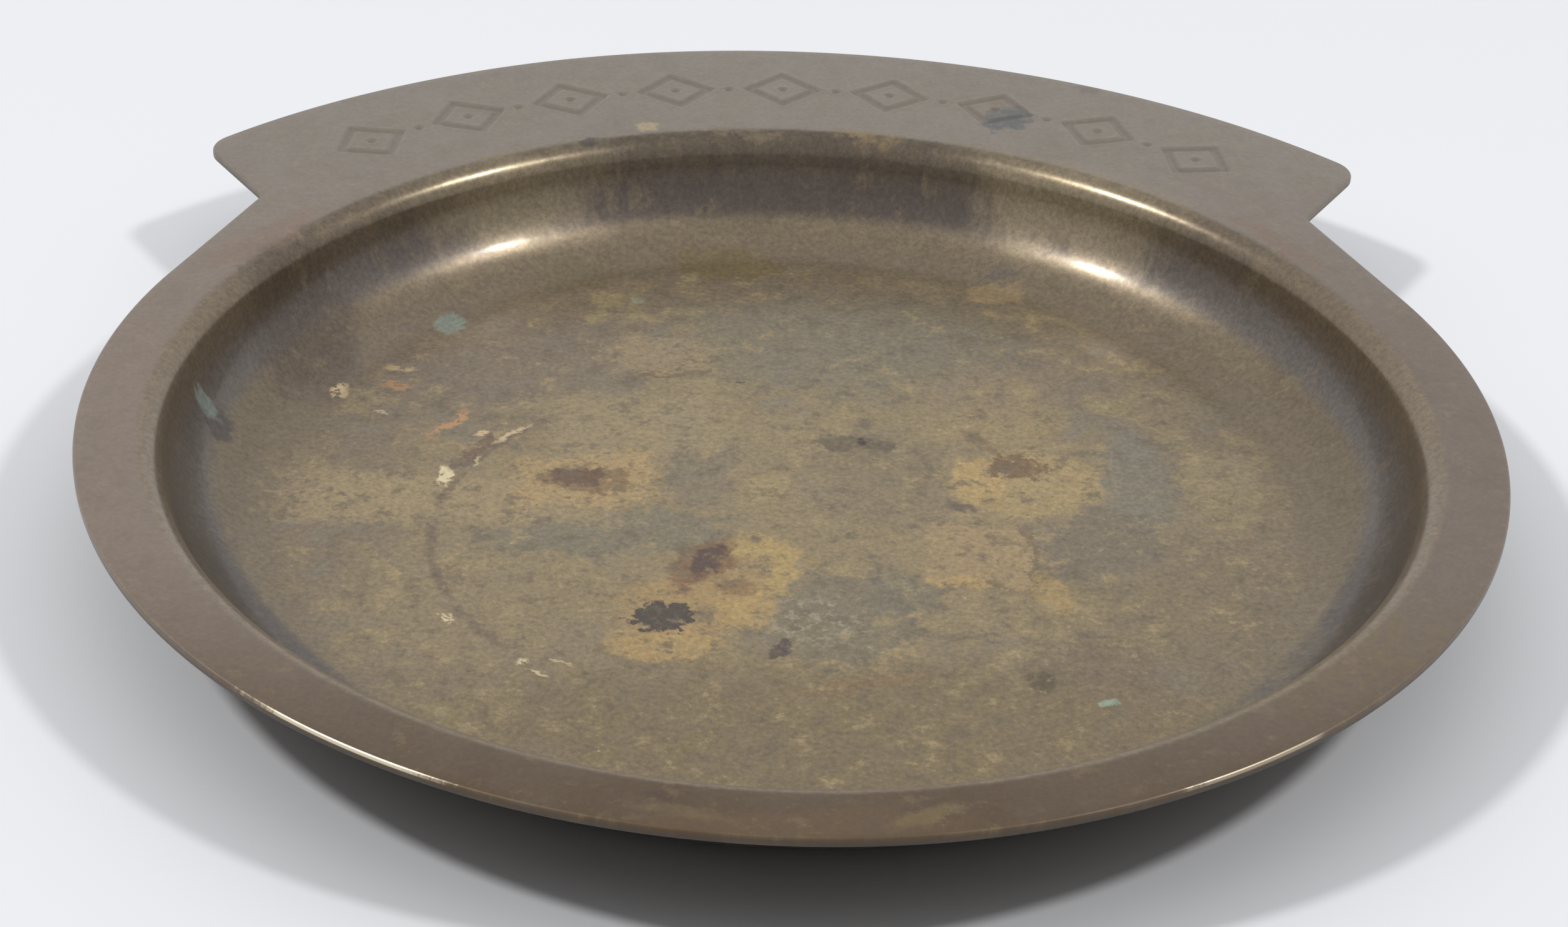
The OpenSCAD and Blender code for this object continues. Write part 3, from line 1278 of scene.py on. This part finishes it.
        # Painted reflection: the wall and lip colours change with the side they face
        wall = bench.blend(self.back, hue.wall_side_tarnish_and_reflection, hue.wall_back_tarnish_and_reflection)
        wall = bench.blend(self.near, wall, hue.wall_near_tarnish_and_reflection)
        wall = bench.blend(bench.follow(self.streak, shows.wall_streaks), wall, hue.cove)
        lip = bench.blend(self.back, hue.lip_side_tarnish_and_reflection, hue.lip_back_tarnish_and_reflection)
        lip = bench.blend(self.front, lip, hue.lip_front)
        lip = bench.blend(bench.follow(self.streak, shows.lip_streaks), lip, hue.cove)
        flange = bench.blend(self.right, hue.flange_side, hue.flange_right)
        flange = bench.blend(self.back, flange, hue.flange_back)
        flange = bench.blend(self.front, flange, hue.flange_front)
        flange = bench.blend(bench.follow(self.clouds, shows.flange_clouds), flange, hue.flange_cloud)
        colour = bench.blend(self.on_cove, floor, cove)
        colour = bench.blend(self.on_wall, colour, wall)
        colour = bench.blend(self.on_lip, colour, lip)
        return bench.blend(self.on_flange, colour, flange)

    def stained(self, colour: Socket) -> tuple[Socket, Socket]:
        """Adds the hazes, the patches and the ring to the tarnish; among the hazes are painted shade and
        painted glow on the walls.

        Args:
            colour: the tarnish without its single marks.

        Returns:
            The stained colour, and the share of the places where the tarnish has broken.
        """
        bench = self.bench
        for stain in HAZES:
            colour = bench.blend(stain.mask(bench, self.loose, self.tight), colour, stain.colour)
        broken = 0.0
        for stain in PATCHES + FLANGE_MARKS:
            mask = stain.mask(bench, self.loose, self.tight)
            if stain.large:
                mask = bench.math("MULTIPLY", mask, self.patchy)
            colour = bench.blend(mask, colour, stain.colour)
            broken = bench.math("MAXIMUM", broken, mask)
        ring = RingStain()
        return bench.blend(ring.mask(bench, self.tight.place, self.mottle), colour, ring.colour), broken

    def grain_colour(self, colour: Socket, broken: Socket) -> Socket:
        """Adds flecks, pits, crust and fine grain to the tarnish.

        Args:
            colour: the tarnish so far.
            broken: share of the patches where the tarnish has broken.

        Returns:
            The finer tarnish.
        """
        bench = self.bench
        hue = self.colours
        shows = self.shows
        inside = bench.math("MULTIPLY_ADD", self.on_cove, -shows.off_floor, 1.0)
        dark = bench.math("MULTIPLY", bench.follow(self.patch, shows.dark), inside)
        colour = bench.blend(dark, colour, hue.floor_dark)
        gold = bench.math("MULTIPLY", bench.follow(self.patch, shows.gold), inside)
        gold = bench.math("MULTIPLY", gold, bench.follow(self.mottle, shows.gold_where))
        colour = bench.blend(gold, colour, hue.floor_gold)
        gold = bench.math("MULTIPLY", bench.follow(self.fleck, shows.gold_flecks), inside)
        colour = bench.blend(gold, colour, hue.ochre)
        depth = bench.math("MULTIPLY_ADD", broken, shows.pits_broken, shows.pits_whole)
        pits = bench.math("MULTIPLY", bench.follow(self.fleck, shows.pits), depth)
        colour = bench.blend(bench.math("MULTIPLY", pits, inside), colour, hue.pit)
        crust = CRUST.mask(bench, self.loose, self.tight)
        crust = bench.math("MULTIPLY", crust, bench.follow(self.fleck, shows.crust))
        colour = bench.blend(crust, colour, CRUST.colour)
        near = bench.math("MULTIPLY", inside, bench.follow(self.mottle, shows.glints_where))
        glints = bench.math("MULTIPLY", bench.follow(self.speck, shows.glints), near)
        colour = bench.blend(glints, colour, hue.glint)
        fine = bench.follow(self.speck, shows.fine)
        colour = bench.blend(bench.pick(self.on_flange, 1.0, shows.fine_flange), colour, fine, "MULTIPLY")
        return bench.blend(1.0, colour, hue.warmth, "MULTIPLY")

    def scratched(self, colour: Socket) -> tuple[Socket, Socket]:
        """Adds the scratches to the tarnish.

        Args:
            colour: the finer tarnish.

        Returns:
            The scratched colour, and the share of bare metal.
        """
        bench = self.bench
        bare = 0.0
        for stain in SCRATCHES:
            mask = stain.mask(bench, self.loose, self.tight)
            mask = bench.math("MULTIPLY", mask, bench.follow(self.fleck, self.shows.scratches))
            colour = bench.blend(mask, colour, stain.colour)
            bare = bench.math("MAXIMUM", bare, mask)
        return colour, bare

    def worn_edge(self) -> Socket:
        """Share of the rounded outer edge that is rubbed to bare metal.

        Returns:
            A value from 0 off the edge to 1 where it is bare.
        """
        bench = self.bench
        worn = bench.follow(self.mottle, self.shows.worn)
        for stain in RUBBED:
            worn = bench.math("MAXIMUM", worn, stain.mask(bench, self.loose, self.tight))
        return bench.math("MULTIPLY", bench.follow(bench.share(EDGE), self.shows.rounded_edge), worn)

    def under_colour(self) -> Socket:
        """Dull brown of the underside, rubbed in cloudy patches.

        Returns:
            The colour at each point.
        """
        bench = self.bench
        hue = self.colours
        colour = bench.blend(bench.follow(self.mottle, self.shows.under_rubbed), hue.under, hue.cove)
        return bench.blend(bench.follow(self.patch, self.shows.under_dark), colour, hue.pit)

    def zone_gloss(self, read: Callable[[Gloss], float]) -> Socket:
        """Metallic share or roughness of the unbroken tarnish, zone by zone.

        Args:
            read: picks one of a zone's two values.

        Returns:
            The value at each point.
        """
        bench = self.bench
        gloss = self.gloss
        value = bench.pick(self.on_bends, read(gloss.floor), read(gloss.bends))
        value = bench.pick(self.on_wall, value, read(gloss.wall))
        lip = bench.pick(self.front, read(gloss.lip), read(gloss.lip_front))
        value = bench.pick(self.on_lip, value, lip)
        return bench.pick(self.on_flange, value, read(gloss.flange))

    def set_gloss(self, shader: bpy.types.Node, broken: Socket, bare: Socket, worn: Socket) -> None:
        """Sets how metallic and rough the surface is, and the clear film over it.

        Args:
            shader: the shader.
            broken: share of the broken patches.
            bare: share of the scratches.
            worn: share of the rubbed edge.
        """
        bench = self.bench
        gloss = self.gloss
        bright = bench.math("MAXIMUM", bare, worn)
        metal = bench.pick(broken, self.zone_gloss(lambda zone: zone.metal), gloss.broken.metal)
        bench.feed(shader.inputs["Metallic"], bench.pick(bright, metal, gloss.bare.metal))
        rough = self.zone_gloss(lambda zone: zone.rough)
        rough = bench.math("ADD", rough, bench.follow(self.mottle, gloss.uneven))
        rough = bench.pick(broken, rough, gloss.broken.rough)
        bench.feed(shader.inputs["Roughness"], bench.pick(bright, rough, gloss.bare.rough))
        front = bench.math("MULTIPLY", self.on_lip, self.front)
        film = bench.pick(front, gloss.film, gloss.film_front)
        bench.feed(shader.inputs["Coat Weight"], bench.pick(worn, film, gloss.film_worn))
        shader.inputs["Coat Roughness"].default_value = gloss.film_rough

    def relief(self) -> Socket:
        """Fine relief of the tarnish: grainy on the floor, smoother on the bends and the flange.

        Returns:
            The bumped normal.
        """
        bench = self.bench
        height = bench.math("MULTIPLY", self.fleck, bench.pick(self.on_cove, *self.shows.fleck_relief))
        grain = bench.pick(self.on_cove, *self.shows.speck_relief)
        height = bench.math("MULTIPLY_ADD", self.speck, grain, height)
        bump = bench.add("ShaderNodeBump")
        bump.inputs["Strength"].default_value = 1.0
        bump.inputs["Distance"].default_value = MM
        bench.feed(bump.inputs["Height"], height)
        return bump.outputs[0]


# Stage, lamps and camera


class LampSide(Enum):
    """The two studio lamps: the bearing that each shines from, in degrees from +Y, and its watts."""

    RIGHT = (102.0, 4.3)
    LEFT = (-97.0, 5.1)

    @property
    def bearing(self) -> float:
        """Direction of the lamp, in radians from +Y."""
        return math.radians(self.value[0])

    @property
    def watts(self) -> float:
        """Power of the lamp."""
        return self.value[1]


@dataclass
class Studio:
    """Pale floor, soft lamps, plain surroundings and the camera."""

    floor_half: float = 3.0
    floor_drop: float = 0.05 * MM
    floor_colour: Colour = (0.84, 0.85, 0.87)
    floor_rough: float = 0.9
    floor_shine: float = 0.1
    lamp_distance: float = 1.2
    lamp_elevation: float = 51.5
    lamp_size: float = 0.13
    ambient_low: float = 0.04
    ambient_high: float = 0.84
    ambient_from: Triple = (0.0, 0.45, 0.89)
    backdrop: Colour = (0.93, 0.94, 0.96)
    eye: Triple = (-8.81 * MM, -234.74 * MM, 145.42 * MM)
    aim: Triple = (-1.0 * MM, -10.0 * MM, 10.9 * MM)
    roll: float = 2.167
    lens: float = 73.21
    sensor: float = 36.0
    nearest: float = 10.0 * MM

    def build(self) -> None:
        """Makes the floor, the lamps, the world and the camera."""
        self.lay_floor()
        for side in LampSide:
            self.hang_lamp(side)
        self.set_world()
        self.set_camera()

    def lay_floor(self) -> None:
        """Lays the plain pale floor a hair below the tray, so that their faces don't coincide."""
        mesh = bmesh.new()
        level = Matrix.Translation((0.0, 0.0, -self.floor_drop))
        bmesh.ops.create_grid(mesh, x_segments=2, y_segments=2, size=self.floor_half, matrix=level)
        data = bpy.data.meshes.new("floor")
        mesh.to_mesh(data)
        mesh.free()
        floor = bpy.data.objects.new("floor", data)
        bpy.context.scene.collection.objects.link(floor)
        material = bpy.data.materials.new("pale_floor")
        material.use_nodes = True
        shader = material.node_tree.nodes["Principled BSDF"]
        shader.inputs["Base Color"].default_value = (*self.floor_colour, 1.0)
        shader.inputs["Roughness"].default_value = self.floor_rough
        shader.inputs["Specular IOR Level"].default_value = self.floor_shine
        data.materials.append(material)

    def hang_lamp(self, side: LampSide) -> None:
        """Hangs one soft lamp that shines at the tray.

        Args:
            side: which lamp.
        """
        light = bpy.data.lights.new(f"lamp_{side.name.lower()}", "AREA")
        light.shape = "DISK"
        light.size = self.lamp_size
        light.energy = side.watts
        lamp = bpy.data.objects.new(light.name, light)
        rise = math.radians(self.lamp_elevation)
        level = bearing_vector(side.bearing) * math.cos(rise)
        place = (level + Vector((0.0, 0.0, math.sin(rise)))) * self.lamp_distance
        lamp.matrix_world = Matrix.Translation(place) @ place.to_track_quat("Z", "Y").to_matrix().to_4x4()
        bpy.context.scene.collection.objects.link(lamp)

    def set_world(self) -> None:
        """Surrounds the tray with a plain pale backdrop and a weaker ambient light."""
        world = bpy.data.worlds.new("studio")
        world.use_nodes = True
        tree = world.node_tree
        tree.nodes.clear()
        bench = NodeBench(tree)
        path = bench.add("ShaderNodeLightPath")
        seen = bench.math("ADD", path.outputs["Is Camera Ray"], path.outputs["Is Glossy Ray"])
        seen = bench.math("MINIMUM", bench.math("ADD", seen, path.outputs["Is Transmission Ray"]), 1.0)
        rise = bench.dot(bench.add("ShaderNodeTexCoord").outputs["Generated"], self.ambient_from)
        ambient = bench.ramp(rise, 0.0, 1.0, self.ambient_low, self.ambient_high)
        strength = bench.pick(seen, ambient, 1.0)
        background = bench.add("ShaderNodeBackground")
        background.inputs["Color"].default_value = (*self.backdrop, 1.0)
        bench.feed(background.inputs["Strength"], strength)
        out = bench.add("ShaderNodeOutputWorld")
        tree.links.new(background.outputs[0], out.inputs[0])
        bpy.context.scene.world = world

    def set_camera(self) -> None:
        """Puts the camera at the photograph's viewing angle."""
        data = bpy.data.cameras.new("camera")
        data.lens = self.lens
        data.sensor_width = self.sensor
        data.clip_start = self.nearest
        camera = bpy.data.objects.new("camera", data)
        eye = Vector(self.eye)
        look = (Vector(self.aim) - eye).to_track_quat("-Z", "Y").to_matrix().to_4x4()
        roll = Matrix.Rotation(math.radians(self.roll), 4, "Z")
        camera.matrix_world = Matrix.Translation(eye) @ look @ roll
        bpy.context.scene.collection.objects.link(camera)
        bpy.context.scene.camera = camera
        bpy.context.scene.view_settings.view_transform = "Standard"


def main() -> None:
    """Builds the studio and the tray, and reports each piece."""
    logging.basicConfig(level=logging.INFO, format="%(name)s: %(message)s")
    Studio().build()
    LOG.info("studio ready")
    sheet = PressedSheet(SheetSizes.from_frame("tray"))
    piece = sheet.build()
    sheet.dress(piece, BrassFinish())
    LOG.info("%s: %d faces", piece.name, len(piece.data.polygons))


if __name__ == "__main__":
    main()
